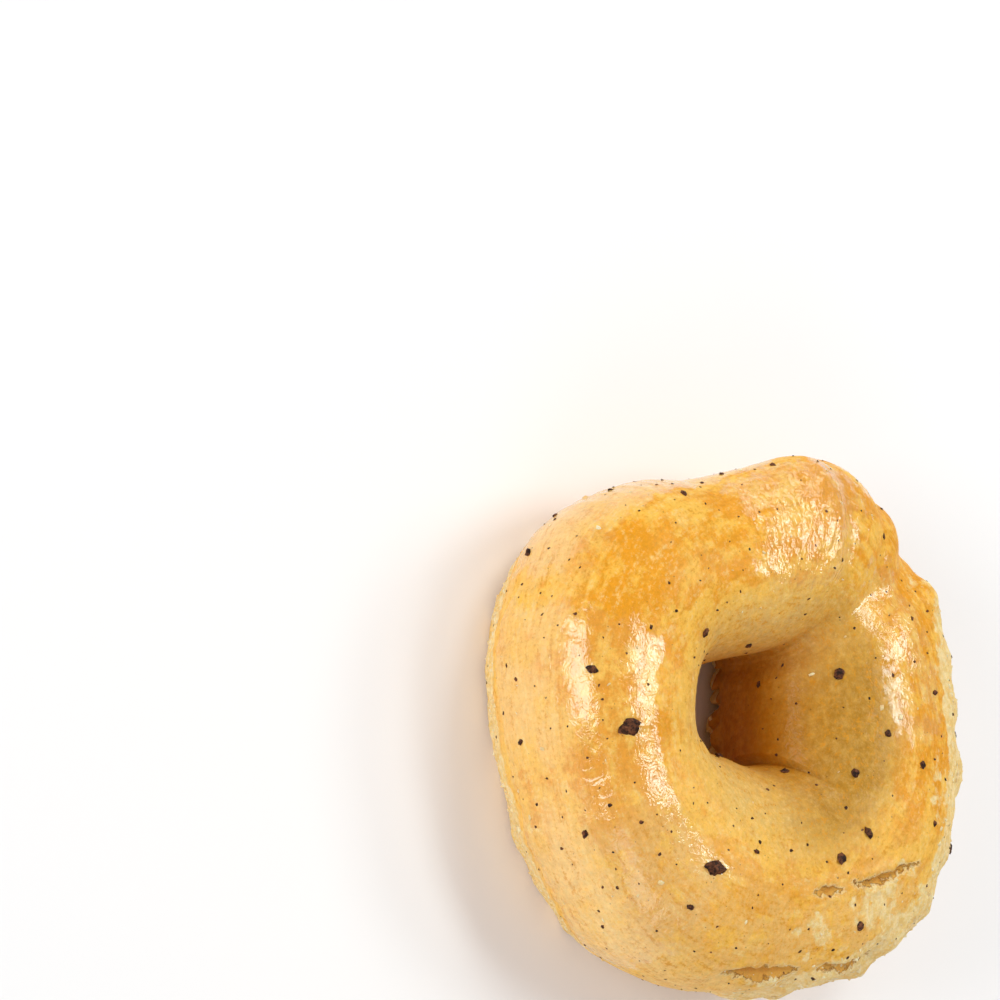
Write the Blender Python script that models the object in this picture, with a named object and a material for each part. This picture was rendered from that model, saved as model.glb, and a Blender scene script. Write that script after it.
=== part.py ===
"""A tarallo: a rope of dough bent into a ring, its ends lapped and pressed together, boiled and baked.

It lies flat on its rough foot. Z is up, and the middle of its outline stands over the origin.
Sizes are in millimetres until the meshes are made.
"""

import bpy
import numpy as np

MM = 0.001

# The rope from the end underneath, round the ring, to the end on top. Each station is an angle round
# the ring in degrees, the distance of the rope's middle from the axis, the height of that middle, and
# half the rope's width and height there. The end on top runs off the ring in a straight line.
ROPE_STATIONS = (
    (152.0, 14.2, 5.2, 5.8, 5.2),
    (118.0, 12.9, 6.3, 8.5, 7.1),
    (80.0, 10.9, 6.7, 9.0, 7.7),
    (40.0, 12.3, 6.7, 8.9, 7.7),
    (0.0, 11.3, 6.7, 8.2, 7.6),
    (-45.0, 11.5, 6.7, 8.4, 7.5),
    (-90.0, 12.2, 6.7, 6.5, 7.5),
    (-140.0, 13.4, 6.8, 7.4, 7.5),
    (-170.0, 11.7, 7.1, 6.7, 7.4),
    (-195.0, 12.3, 7.7, 6.6, 7.2),
    (-216.0, 15.2, 8.1, 6.5, 6.6),
    (-226.0, 16.4, 7.8, 5.2, 5.6),
)
ROPE_SAMPLES = 110
SECTION_POWER = 2.35  # above 2, the rope's sides stand nearly upright
END_LENGTH = 0.75  # how far a rounded end reaches past its last station, as a share of the half width

# The lap, where the end on top is pressed into the end underneath: its angle round the ring, how many
# degrees it reaches each way, and the width of the fillet between the two ends in millimetres
LAP_ANGLE = 139.0
LAP_REACH = 62.0
LAP_BLEND = 0.8

# The net of points over the ring: rays leave the rope's middle in each direction
NET_ROUND = 124
NET_SECTION = 40
NET_CROWDING = 0.35  # how much closer the rays stand near the lap
MIDDLE_RADIUS = 12.2
MIDDLE_HEIGHT = 6.6
MIDDLE_SHIFT = 1.3  # how far the middle moves out at the lap, to stay inside both ends
MIDDLE_SHIFT_REACH = 50.0  # degrees each way
RAY_START = 2.0
RAY_SHORTEST = 0.5
RAY_LONGEST = 14.0
RAY_STEPS = 28
RAY_STEP_SHARE = 0.9  # how much of the way to the crust each step goes

# The foot, where the dough spread and stuck to the tray
FOOT_ROUNDING = 0.8
FOOT_FLARE = 0.35
FOOT_HEIGHT = 2.2

# Lumps of the dough, and the torn side that faces out: depths and wave lengths, then the angle of the
# tears round the ring, how many degrees they reach each way, and their two limits round the section
LUMP_DEPTH = 0.16
LUMP_LENGTH = 9.0
TEAR_DEPTH = 0.34
TEAR_LENGTH = 3.4
TEAR_ANGLE = 50.0
TEAR_REACH = 85.0
TEAR_LOWEST = -58.0
TEAR_HIGHEST = 52.0
TEAR_EDGE = 25.0

# The fold across the end on top, where it was pinched down, and the one flake that lifts off the crust.
# Angles are round the ring and round the section, where 0 is outward and 90 is up.
FOLD_ANGLE = 155.0
FOLD_SLANT = 0.13  # degrees round the ring for each degree round the section
FOLD_SLOPE = 24.0  # degrees of its long side
FOLD_DROP = 8.0  # degrees of its steep side
FOLD_LOWEST = 10.0
FOLD_HIGHEST = 135.0
FOLD_EDGE = 35.0
FOLD_RISE = 0.8
FLAKE_ANGLE = 115.0
FLAKE_SECTION = 42.0
FLAKE_REACH = 7.0
FLAKE_RISE = 0.9

# Cracks in the crust: angle round the ring and round the section where each starts and ends,
# its width and its depth
CRACKS = (
    (0.0, 87.0, 12.0, 85.0, 0.5, 0.5),
    (16.0, 84.0, 42.0, 65.0, 0.6, 0.7),
    (-22.0, 35.0, -2.0, 39.0, 1.6, 0.9),
    (4.0, 42.0, 22.0, 34.0, 0.8, 0.6),
)
CRACK_STEPS = 6
CRACK_WANDER = 1.6  # degrees that a crack strays from its straight line
CRACK_RISE = 0.8  # how far its cutter stands out of the crust
CRACK_END = 0.25  # its size at both ends, as a share of that in the middle
CRACK_SEED = 40

# Cracked peppercorns baked into the crust: the largest by their angles and width, the rest spread by a rule
PEPPER_SHOWN = (
    (-94.0, 70.0, 1.5),
    (-43.0, 81.0, 1.4),
    (33.0, 101.0, 0.95),
    (-137.0, 110.0, 0.75),
    (114.0, 133.0, 0.75),
    (15.0, 100.0, 0.7),
    (69.0, 84.0, 0.65),
    (24.0, 152.0, 0.7),
    (-71.0, 32.0, 0.6),
    (-108.0, 49.0, 0.75),
    (-42.0, 57.0, 0.6),
    (-134.0, -8.0, 0.8),
    (16.0, 60.0, 0.6),
    (52.0, 124.0, 0.55),
)
PEPPER_COUNT = 34
PEPPER_SMALLEST = 0.45
PEPPER_LARGEST = 0.75
PEPPER_THICKNESS = 0.55  # as a share of its width
PEPPER_SPACING = 3.6
PEPPER_LOWEST = -20.0
PEPPER_HIGHEST = 175.0
PEPPER_RISE = -0.02  # how far a grain's middle lies above the crust, as a share of its width
PEPPER_SEED = 7
GRAIN_SEED = 300


def smooth_step(share):
    """0 to 1 with level ends."""
    share = np.clip(share, 0.0, 1.0)
    return share * share * (3.0 - 2.0 * share)


def turn_between(angle, middle):
    """Degrees between two angles, the short way."""
    return np.abs((angle - middle + 180.0) % 360.0 - 180.0)


def smooth_least(first, second, width):
    """The smaller of two distances, blended over a width so that the join is a fillet."""
    share = np.clip(0.5 + 0.5 * (second - first) / width, 0.0, 1.0)
    return second * (1.0 - share) + first * share - width * share * (1.0 - share)


def curve_through(stations, count):
    """Even samples of a smooth curve through the stations, by Catmull and Rom's rule."""
    stations = np.array(stations)
    last = len(stations) - 1
    place = np.linspace(0.0, last, count)
    start = np.minimum(place.astype(int), last - 1)
    t = (place - start)[:, None]
    before = stations[np.maximum(start - 1, 0)]
    here = stations[start]
    there = stations[start + 1]
    after = stations[np.minimum(start + 2, last)]
    slope_here = (there - before) / 2.0
    slope_there = (after - here) / 2.0
    bend = 3.0 * (there - here) - 2.0 * slope_here - slope_there
    twist = slope_here + slope_there - 2.0 * (there - here)
    return here + slope_here * t + bend * t**2 + twist * t**3


def rope_path():
    """A row for each sample of the rope: its middle in plan, its direction, the step to the next, and sizes."""
    angle, distance, height, half_width, half_height = curve_through(ROPE_STATIONS, ROPE_SAMPLES).T
    angle = np.radians(angle)
    middle = np.stack([distance * np.cos(angle), distance * np.sin(angle)], axis=1)
    along = np.gradient(middle, axis=0)
    step = np.linalg.norm(along, axis=1)
    along /= step[:, None]
    return np.column_stack([middle, along, step, height, half_width, half_height])


def strand_distance(points, path, first, last):
    """About how far each point is outside the strand between two samples, negative inside."""
    strand = path[first:last]
    away = points[:, None, :2] - strand[None, :, :2]
    nearest = np.argmin((away**2).sum(axis=2), axis=1)
    past = ((points[:, :2] - strand[nearest, :2]) * strand[nearest, 2:4]).sum(axis=1)
    place = np.clip(nearest + past / strand[nearest, 4], 0.0, len(strand) - 1.001)
    lower = place.astype(int)
    share = (place - lower)[:, None]
    here = strand[lower] * (1.0 - share) + strand[lower + 1] * share
    away = points[:, :2] - here[:, :2]
    across = away[:, 0] * here[:, 3] - away[:, 1] * here[:, 2]
    past = (away * here[:, 2:4]).sum(axis=1)
    width = here[:, 6]
    rise = here[:, 7]
    at_end = (place < 0.001) | (place > len(strand) - 1.002)
    reach = np.where(at_end, np.abs(past) / (width * END_LENGTH), 0.0)
    up = points[:, 2] - here[:, 5]
    power = SECTION_POWER
    gauge = (np.abs(across / width) ** power + np.abs(up / rise) ** power + reach**power) ** (1.0 / power)
    return (gauge - 1.0) * np.minimum(width, rise)


def dough_distance(points, path):
    """About how far each point is outside the dough: both ends, pressed together, on a flat foot."""
    half = ROPE_SAMPLES // 2
    under = strand_distance(points, path, 0, half + 1)
    over = strand_distance(points, path, half, ROPE_SAMPLES)
    angle = np.degrees(np.arctan2(points[:, 1], points[:, 0]))
    pressed = smooth_step(1.0 - turn_between(angle, LAP_ANGLE) / LAP_REACH)
    dough = smooth_least(under, over, LAP_BLEND * pressed + 1e-6)
    return -smooth_least(-dough, points[:, 2], FOOT_ROUNDING)


def waves(points, length, seed):
    """An even, lumpy field between about -1 and 1: a few waves of one length in seeded directions."""
    rng = np.random.default_rng(seed)
    total = np.zeros(len(points))
    count = 9
    for _ in range(count):
        direction = rng.normal(size=3)
        direction /= np.linalg.norm(direction)
        phase = rng.uniform(0.0, 2.0 * np.pi)
        stretch = rng.uniform(0.75, 1.3)
        total += np.sin(points @ direction * (2.0 * np.pi * stretch / length) + phase)
    return total / np.sqrt(count)


def band(value, lowest, highest, edge):
    """1 between two values, falling to 0 at them over an edge."""
    return smooth_step((value - lowest) / edge) * smooth_step((highest - value) / edge)


def relief(points, round_angle, section_angle):
    """How far the crust stands out from the smooth dough."""
    lumps = LUMP_DEPTH * waves(points, LUMP_LENGTH, 1)
    torn = band(section_angle, TEAR_LOWEST, TEAR_HIGHEST, TEAR_EDGE)
    torn = torn * smooth_step(2.0 - 2.0 * turn_between(round_angle, TEAR_ANGLE) / TEAR_REACH)
    tears = TEAR_DEPTH * torn * waves(points, TEAR_LENGTH, 2)
    ridge_angle = FOLD_ANGLE + FOLD_SLANT * (90.0 - section_angle)
    past_fold = (round_angle - ridge_angle + 180.0) % 360.0 - 180.0
    fold = FOLD_RISE * smooth_step(1.0 - np.maximum(past_fold / FOLD_SLOPE, -past_fold / FOLD_DROP))
    fold = fold * band(section_angle, FOLD_LOWEST, FOLD_HIGHEST, FOLD_EDGE)
    from_flake = np.hypot(turn_between(round_angle, FLAKE_ANGLE), 0.5 * (section_angle - FLAKE_SECTION))
    flake = FLAKE_RISE * smooth_step(1.0 - from_flake / FLAKE_REACH)
    low = smooth_step(1.0 - points[:, 2] / FOOT_HEIGHT) * smooth_step(points[:, 2] / 0.5)
    foot = FOOT_FLARE * low * (0.6 + waves(points, TEAR_LENGTH, 3))
    return lumps * smooth_step(points[:, 2] / FOOT_HEIGHT) + tears + fold + flake + foot


def ray_start(round_angle):
    """Distance from the axis of the rays' start, which moves out at the lap."""
    lapped = smooth_step(1.0 - turn_between(round_angle, LAP_ANGLE) / MIDDLE_SHIFT_REACH)
    return MIDDLE_RADIUS + MIDDLE_SHIFT * lapped


def crust_points(round_angle, section_angle, path):
    """The crust's point in each direction from the rope's middle."""
    turn = np.radians(round_angle)
    tilt = np.radians(section_angle)
    start = ray_start(round_angle)

    def at(length):
        distance = start + length * np.cos(tilt)
        height = MIDDLE_HEIGHT + length * np.sin(tilt)
        return np.stack([distance * np.cos(turn), distance * np.sin(turn), height], axis=1)

    length = np.full(len(turn), RAY_START)
    for _ in range(RAY_STEPS):
        length = length - RAY_STEP_SHARE * dough_distance(at(length), path)
        length = np.clip(length, RAY_SHORTEST, RAY_LONGEST)
    points = at(length + relief(at(length), round_angle, section_angle))
    points[:, 2] = np.maximum(points[:, 2], 0.0)
    return points


def net_angles():
    """The rays' angles round the ring, closer near the lap, and round the section."""
    even = np.arange(NET_ROUND) * 360.0 / NET_ROUND
    crowded = even - np.degrees(NET_CROWDING * np.sin(np.radians(even)))
    section = np.arange(NET_SECTION) * 360.0 / NET_SECTION - 180.0
    return LAP_ANGLE + crowded, section


def new_object(name, points, faces):
    mesh = bpy.data.meshes.new(name)
    mesh.from_pydata([tuple(p * MM) for p in points], [], [tuple(f) for f in faces])
    mesh.update()
    made = bpy.data.objects.new(name, mesh)
    bpy.context.scene.collection.objects.link(made)
    return made


def make_ring(path):
    round_angles, section_angles = net_angles()
    turn, tilt = np.meshgrid(round_angles, section_angles, indexing="ij")
    points = crust_points(turn.ravel() % 360.0, tilt.ravel(), path)
    points[:, 2] -= points[:, 2].min()
    i, j = np.meshgrid(np.arange(NET_ROUND), np.arange(NET_SECTION), indexing="ij")
    i = i.ravel()
    j = j.ravel()
    next_i = (i + 1) % NET_ROUND
    next_j = (j + 1) % NET_SECTION
    corner = i * NET_SECTION + j
    faces = np.stack(
        [corner, next_i * NET_SECTION + j, next_i * NET_SECTION + next_j, i * NET_SECTION + next_j], axis=1
    )
    return new_object("tarallo", points, faces)


def crust_frame(round_angle, section_angle, path):
    """A point of the crust, the way out of it, and the way round the ring along it."""
    step = 2.0
    turn = np.array([round_angle, round_angle + step, round_angle])
    tilt = np.array([section_angle, section_angle, section_angle + step])
    here, along, up = crust_points(turn % 360.0, tilt, path)
    along = (along - here) / np.linalg.norm(along - here)
    out = np.cross(along, up - here)
    return here, out / np.linalg.norm(out), along


def make_crack(number, start_turn, start_tilt, end_turn, end_tilt, width, depth, path):
    """A wedge that stands in the crust along a wandering line, thin at both ends."""
    rng = np.random.default_rng(CRACK_SEED + number)
    points = []
    for step in range(CRACK_STEPS + 1):
        share = step / CRACK_STEPS
        turn = start_turn + (end_turn - start_turn) * share + rng.uniform(-0.5, 0.5) * CRACK_WANDER
        tilt = start_tilt + (end_tilt - start_tilt) * share + rng.uniform(-1.0, 1.0) * CRACK_WANDER
        here, out, along = crust_frame(turn, tilt, path)
        side = np.cross(out, along)
        full = CRACK_END + (1.0 - CRACK_END) * np.sin(np.pi * share)
        half = 0.5 * width * full * (1.0 + CRACK_RISE / depth)
        points.append(here + out * CRACK_RISE - side * half)
        points.append(here + out * CRACK_RISE + side * half)
        points.append(here - out * depth * full)
    faces = [(0, 1, 2)]
    for step in range(CRACK_STEPS):
        for side in range(3):
            a = 3 * step + side
            b = 3 * step + (side + 1) % 3
            faces.append((a, a + 3, b + 3, b))
    last = 3 * CRACK_STEPS
    faces.append((last, last + 2, last + 1))
    return new_object("crack_%d" % number, points, faces)


def pepper_places(path):
    """Where each grain lies and how wide it is: the shown ones, then a seeded spread that keeps its spacing."""
    rng = np.random.default_rng(PEPPER_SEED)
    places = []
    for turn, tilt, width in PEPPER_SHOWN:
        here, out, _ = crust_frame(turn, tilt, path)
        places.append((here, out, width))
    while len(places) < PEPPER_COUNT:
        turn = rng.uniform(0.0, 360.0)
        tilt = rng.uniform(PEPPER_LOWEST, PEPPER_HIGHEST)
        width = PEPPER_SMALLEST + (PEPPER_LARGEST - PEPPER_SMALLEST) * rng.uniform() ** 2
        here, out, _ = crust_frame(turn, tilt, path)
        if all(np.linalg.norm(here - other) > PEPPER_SPACING for other, _, _ in places):
            places.append((here, out, width))
    return places


def make_grain(number, here, out, width):
    """A broken peppercorn: a rough 20-sided lump, flattened onto the crust."""
    rng = np.random.default_rng(GRAIN_SEED + number)
    golden = (1.0 + 5.0**0.5) / 2.0
    corners = []
    for a in (-1.0, 1.0):
        for b in (-golden, golden):
            corners += [(0.0, a, b), (a, b, 0.0), (b, 0.0, a)]
    corners = np.array(corners)
    corners /= np.linalg.norm(corners[0])
    faces = []
    edge = 1.06
    for a in range(12):
        for b in range(a + 1, 12):
            for c in range(b + 1, 12):
                sides = [np.linalg.norm(corners[p] - corners[q]) for p, q in ((a, b), (b, c), (a, c))]
                if max(sides) < edge:
                    outward = np.dot(np.cross(corners[b] - corners[a], corners[c] - corners[a]), corners[a])
                    faces.append((a, b, c) if outward > 0 else (a, c, b))
    side = np.cross(out, (0.3, 0.5, 0.8))
    side /= np.linalg.norm(side)
    front = np.cross(out, side)
    rough = corners * rng.uniform(0.8, 1.15, size=(12, 1))
    size = np.array([0.5 * width * rng.uniform(0.75, 1.0), 0.5 * width, 0.5 * width * PEPPER_THICKNESS])
    points = here + out * PEPPER_RISE * width + (rough * size) @ np.stack([side, front, out])
    return new_object("pepper_%02d" % number, points, faces)


def crust_material():
    """Baked golden dough with a dull gloss."""
    made = bpy.data.materials.new("crust")
    made.use_nodes = True
    shader = made.node_tree.nodes["Principled BSDF"]
    shader.inputs["Base Color"].default_value = (0.76, 0.46, 0.16, 1.0)
    shader.inputs["Roughness"].default_value = 0.5
    shader.inputs["Metallic"].default_value = 0.0
    return made


def apply_boolean(target, parts, operation, name):
    """Joins the parts to the target or cuts them from it, as one collection, and removes them."""
    group = bpy.data.collections.new(name)
    for part in parts:
        group.objects.link(part)
    tool = target.modifiers.new(name, "BOOLEAN")
    tool.operand_type = "COLLECTION"
    tool.collection = group
    tool.operation = operation
    tool.solver = "EXACT"
    graph = bpy.context.evaluated_depsgraph_get()
    done = bpy.data.meshes.new_from_object(target.evaluated_get(graph))
    target.modifiers.remove(tool)
    target.data = done
    for part in parts:
        bpy.data.objects.remove(part)
    bpy.data.collections.remove(group)


def centre_over_origin(obj):
    """Moves the corners so that the middle of the outline is over the origin and the foot is at 0."""
    count = len(obj.data.vertices)
    points = np.empty(count * 3)
    obj.data.vertices.foreach_get("co", points)
    points = points.reshape(-1, 3)
    low = points.min(axis=0)
    high = points.max(axis=0)
    points -= ((low[0] + high[0]) / 2.0, (low[1] + high[1]) / 2.0, low[2])
    obj.data.vertices.foreach_set("co", points.ravel())
    obj.data.update()


def main():
    for obj in list(bpy.data.objects):
        bpy.data.objects.remove(obj)
    path = rope_path()
    tarallo = make_ring(path)
    cracks = [make_crack(number, *crack, path) for number, crack in enumerate(CRACKS)]
    apply_boolean(tarallo, cracks, "DIFFERENCE", "cracks")
    grains = [make_grain(number, *place) for number, place in enumerate(pepper_places(path))]
    apply_boolean(tarallo, grains, "UNION", "pepper")
    centre_over_origin(tarallo)
    tarallo.data.name = "tarallo"
    tarallo.data.materials.clear()
    tarallo.data.materials.append(crust_material())
    tarallo.data.shade_smooth()


main()
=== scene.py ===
"""Looks of a tarallo: glazed golden crust, rough pale foot, torn side, cracks and cracked pepper.

The crust repeats the solid's own rule for the rope of dough at a finer net, in millimetres and degrees,
and is then given its fine relief by a Geometry Nodes tree. Pepper and crumbs are scattered by trees too.
"""

import bpy
import numpy as np
from mathutils import Matrix, Vector

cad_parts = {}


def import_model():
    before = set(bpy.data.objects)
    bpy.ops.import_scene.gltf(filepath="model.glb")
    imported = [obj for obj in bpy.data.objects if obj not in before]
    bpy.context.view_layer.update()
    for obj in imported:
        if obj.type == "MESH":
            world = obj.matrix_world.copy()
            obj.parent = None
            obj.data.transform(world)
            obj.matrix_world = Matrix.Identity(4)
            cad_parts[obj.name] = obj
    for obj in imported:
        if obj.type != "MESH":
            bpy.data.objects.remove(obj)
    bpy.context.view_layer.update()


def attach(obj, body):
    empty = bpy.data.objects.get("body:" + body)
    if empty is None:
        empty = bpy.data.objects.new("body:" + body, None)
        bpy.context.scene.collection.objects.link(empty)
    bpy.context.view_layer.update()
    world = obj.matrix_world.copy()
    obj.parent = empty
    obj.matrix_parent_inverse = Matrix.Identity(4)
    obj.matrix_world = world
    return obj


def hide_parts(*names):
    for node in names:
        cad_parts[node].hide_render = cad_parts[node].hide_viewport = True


MM = 0.001

# The dough rope, as in the solid: angle round the ring, distance of its middle from the axis, height of
# that middle, half width and half height
ROPE_STATIONS = (
    (152.0, 14.2, 5.2, 5.8, 5.2),
    (118.0, 12.9, 6.3, 8.5, 7.1),
    (80.0, 10.9, 6.7, 9.0, 7.7),
    (40.0, 12.3, 6.7, 8.9, 7.7),
    (0.0, 11.3, 6.7, 8.2, 7.6),
    (-45.0, 11.5, 6.7, 8.4, 7.5),
    (-90.0, 12.2, 6.7, 6.5, 7.5),
    (-140.0, 13.4, 6.8, 7.4, 7.5),
    (-170.0, 11.7, 7.1, 6.7, 7.4),
    (-195.0, 12.3, 7.7, 6.6, 7.2),
    (-216.0, 15.2, 8.1, 6.5, 6.6),
    (-226.0, 16.4, 7.8, 5.2, 5.6),
)
# How the rope is worked out, how its ends lap, and where the outline's middle is from the ring's axis
ROPE_SAMPLES = 110
SECTION_POWER = 2.35
END_LENGTH = 0.75
LAP_ANGLE = 139.0
LAP_REACH = 62.0
LAP_BLEND = 0.8
OUTLINE_MIDDLE = (0.467, 0.880)

# The net of the crust, and the circle that it is measured out from
NET_ROUND = 440
NET_SECTION = 216
NET_CROWDING = 0.3
RING_RADIUS = 12.0  # the ring and the rope as round ones, for the patterns that run along the rope
ROPE_RADIUS = 7.6
MIDDLE_RADIUS = 12.2
MIDDLE_HEIGHT = 6.6
MIDDLE_SHIFT = 1.3
SHIFT_REACH = 50.0
RAY_STEPS = 16
RAY_STEP_SHARE = 0.95
RAY_START = 6.5
RAY_LIMITS = (0.5, 14.0)

# The relief, as in the solid: foot, lumps, torn side, the fold of the joint and the lifted flake
FOOT_ROUNDING = 0.8
FOOT_FLARE = 0.35
FOOT_HEIGHT = 2.2
LUMP_DEPTH = 0.16
LUMP_LENGTH = 9.0
TEAR_DEPTH = 0.34
TEAR_LENGTH = 3.4
TEAR_ANGLE = 50.0
TEAR_REACH = 85.0
TEAR_LOWEST = -58.0
TEAR_HIGHEST = 52.0
FOLD_ANGLE = 155.0
FOLD_SLANT = 0.13
FOLD_SLOPE = 24.0
FOLD_DROP = 8.0
FOLD_LOWEST = 10.0
FOLD_HIGHEST = 135.0
FOLD_RISE = 0.8
FLAKE_ANGLE = 115.0
FLAKE_SECTION = 42.0
FLAKE_REACH = 7.0
FLAKE_RISE = 0.9

# Cracks: angle round the ring and round the section where each starts and ends, width and depth
CRACKS = (
    (0.0, 87.0, 12.0, 85.0, 0.5, 0.5),
    (16.0, 84.0, 42.0, 65.0, 0.6, 0.7),
    (-22.0, 35.0, -2.0, 39.0, 1.6, 0.9),
    (4.0, 42.0, 22.0, 34.0, 0.8, 0.6),
)
CRACK_STEPS = 6
CRACK_WANDER = 1.6
CRACK_NEAR = 2.0  # how far from a crack its field is kept
LIP_RISE = 0.12  # the skin lifts a little beside a crack
TOOTH_DEPTH = 0.8  # teeth of the torn foot edge that shows in the ring hole, and where they are
TOOTH_LENGTH = 3.1
TOOTH_ANGLE = 82.0
TOOTH_REACH = 80.0
FOOT_TOP = 2.4  # height of the pale foot
FOOT_SHOWN_ANGLE = -80.0  # where more of the foot shows, how far round that reaches and how much higher
FOOT_SHOWN_REACH = 75.0
FOOT_SHOWN_RISE = 2.0
FAR_ANGLE = 75.0  # the middle of the far side, and that of the wall of the hole which the camera sees
WALL_ANGLE = 65.0
FLAKED_RISE = 17.0  # degrees round the section that the flaked skin goes above the tears, on the far side
PALE_ANGLE = -15.0  # the middle of the less baked part, and degrees each side of it
PALE_REACH = 75.0
PINCH_ANGLE = 165.0
PINCH_REACH = 26.0  # degrees each side of the middle of the pinch, where the skin is wrinkled
SCUFF_ANGLE = 34.0
SCUFF_REACH = 52.0  # degrees each side of the middle of the scuffed crust by the cracks
# Where the glaze is glossy: the middle round the ring, degrees each way, its limits round the section
# and how whole the glaze is
GLOSS_PATCHES = (
    (-80.0, 50.0, -25.0, 95.0, 0.95),
    (106.0, 38.0, 55.0, 118.0, 0.66),
    (-162.0, 40.0, -30.0, 45.0, 0.9),
)
GLOSS_EDGE = 14.0
CREASE_ANGLE = 118.0  # where the net is evened, degrees each way, and how often
CREASE_REACH = 14.0
CREASE_PASSES = 6

# Fine relief of the baked crust
WRINKLE_SIZE = 0.9
WRINKLE_DEPTH = 0.028
PINCH_DEPTH = 0.38
DIMPLE_SIZE = 2.6
DIMPLE_DEPTH = 0.05
CRUMB_SIZE = 0.75
CRUMB_DEPTH = 0.16

# Pepper: the largest by their angles and width, then a seeded spread, then fine specks
PEPPER_SHOWN = (
    (-94.0, 70.0, 1.5),
    (-43.0, 81.0, 1.4),
    (33.0, 101.0, 0.95),
    (-137.0, 110.0, 0.75),
    (114.0, 133.0, 0.75),
    (15.0, 100.0, 0.7),
    (69.0, 84.0, 0.65),
    (24.0, 152.0, 0.7),
    (-71.0, 32.0, 0.6),
    (-108.0, 49.0, 0.75),
    (-42.0, 57.0, 0.6),
    (-134.0, -8.0, 0.8),
    (16.0, 60.0, 0.6),
    (52.0, 124.0, 0.55),
)
PEPPER_COUNT = 34
PEPPER_SMALLEST = 0.45
PEPPER_LARGEST = 0.75
PEPPER_SPACING = 3.6
PEPPER_LOWEST = -20.0
PEPPER_HIGHEST = 175.0
PEPPER_SEED = 7
PEPPER_THICKNESS = 0.5
SPECK_SPACING = 1.0
SPECKS_PER_MM2 = 0.17
SPECK_SMALLEST = 0.2
SPECK_LARGEST = 0.42
SPECK_SINK = 0.1  # share of its width that a lump is sunk

FLECK_SPACING = 1.5
FLECKS_PER_MM2 = 0.03
FLECK_SMALLEST = 0.25
FLECK_LARGEST = 0.65
FLECK_SINK = 0.15

CRUMB_SPACING = 0.4
CRUMBS_PER_MM2 = 4.0
CRUMB_SMALLEST = 0.16
CRUMB_LARGEST = 0.75
CRUMB_SINK = 0.2

# The camera looks down on the ring from its front, turned so that the ring's back is at the right
CAMERA_ELEVATION = 49.2
CAMERA_TURN = 7.9
CAMERA_DISTANCE = 400.0
AIM = (-OUTLINE_MIDDLE[0], -OUTLINE_MIDDLE[1], 6.5)
PIXELS_PER_MM = 13.6
FRAME_PIXELS = 1000.0  # the photograph's width and height
AIM_PIXEL = (722.2, 728.4)
SENSOR = 36.0

# Floor and lights
FLOOR_REACH = 2.0  # metres each way
FLOOR_COLOUR = (0.97, 0.885, 0.885, 1.0)
LIGHT_DISTANCE = 0.60  # metres
LIGHT_COLOUR = (0.86, 1.0, 1.0)
FULL_TURN = 6.283  # radians


def smooth_step(share):
    """0 to 1 with level ends."""
    share = np.clip(share, 0.0, 1.0)
    return share * share * (3.0 - 2.0 * share)


def band(value, lowest, highest, edge):
    """1 between two values, falling to 0 at them over an edge."""
    return smooth_step((value - lowest) / edge) * smooth_step((highest - value) / edge)


def turn_between(angle, middle):
    """Degrees between two angles, the short way."""
    return np.abs((angle - middle + 180.0) % 360.0 - 180.0)


def smooth_least(first, second, width):
    """The smaller of two distances, blended over a width so that the join is a fillet."""
    share = np.clip(0.5 + 0.5 * (second - first) / width, 0.0, 1.0)
    return second * (1.0 - share) + first * share - width * share * (1.0 - share)


def curve_through(stations, count):
    """Even samples of a smooth curve through the stations, by Catmull and Rom's rule."""
    stations = np.array(stations)
    last = len(stations) - 1
    place = np.linspace(0.0, last, count)
    start = np.minimum(place.astype(int), last - 1)
    t = (place - start)[:, None]
    before = stations[np.maximum(start - 1, 0)]
    here = stations[start]
    there = stations[start + 1]
    after = stations[np.minimum(start + 2, last)]
    slope_here = (there - before) / 2.0
    slope_there = (after - here) / 2.0
    bend = 3.0 * (there - here) - 2.0 * slope_here - slope_there
    twist = slope_here + slope_there - 2.0 * (there - here)
    return here + slope_here * t + bend * t**2 + twist * t**3


def rope_path():
    """A row for each sample of the rope: its middle in plan, direction, step to the next, height, sizes."""
    angle, distance, height, half_width, half_height = curve_through(ROPE_STATIONS, ROPE_SAMPLES).T
    angle = np.radians(angle)
    middle = np.stack([distance * np.cos(angle), distance * np.sin(angle)], axis=1)
    along = np.gradient(middle, axis=0)
    step = np.linalg.norm(along, axis=1)
    along /= step[:, None]
    return np.column_stack([middle, along, step, height, half_width, half_height])


def strand_distance(points, path, first, last):
    """About how far each point is outside the strand between two samples, negative inside."""
    strand = path[first:last]
    away = points[:, None, :2] - strand[None, :, :2]
    nearest = np.argmin((away**2).sum(axis=2), axis=1)
    past = ((points[:, :2] - strand[nearest, :2]) * strand[nearest, 2:4]).sum(axis=1)
    place = np.clip(nearest + past / strand[nearest, 4], 0.0, len(strand) - 1.001)
    lower = place.astype(int)
    share = (place - lower)[:, None]
    here = strand[lower] * (1.0 - share) + strand[lower + 1] * share
    away = points[:, :2] - here[:, :2]
    across = away[:, 0] * here[:, 3] - away[:, 1] * here[:, 2]
    past = (away * here[:, 2:4]).sum(axis=1)
    width = here[:, 6]
    rise = here[:, 7]
    at_end = (place < 0.001) | (place > len(strand) - 1.002)
    reach = np.where(at_end, np.abs(past) / (width * END_LENGTH), 0.0)
    up = points[:, 2] - here[:, 5]
    power = SECTION_POWER
    gauge = (np.abs(across / width) ** power + np.abs(up / rise) ** power + reach**power) ** (1.0 / power)
    return (gauge - 1.0) * np.minimum(width, rise)


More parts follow.
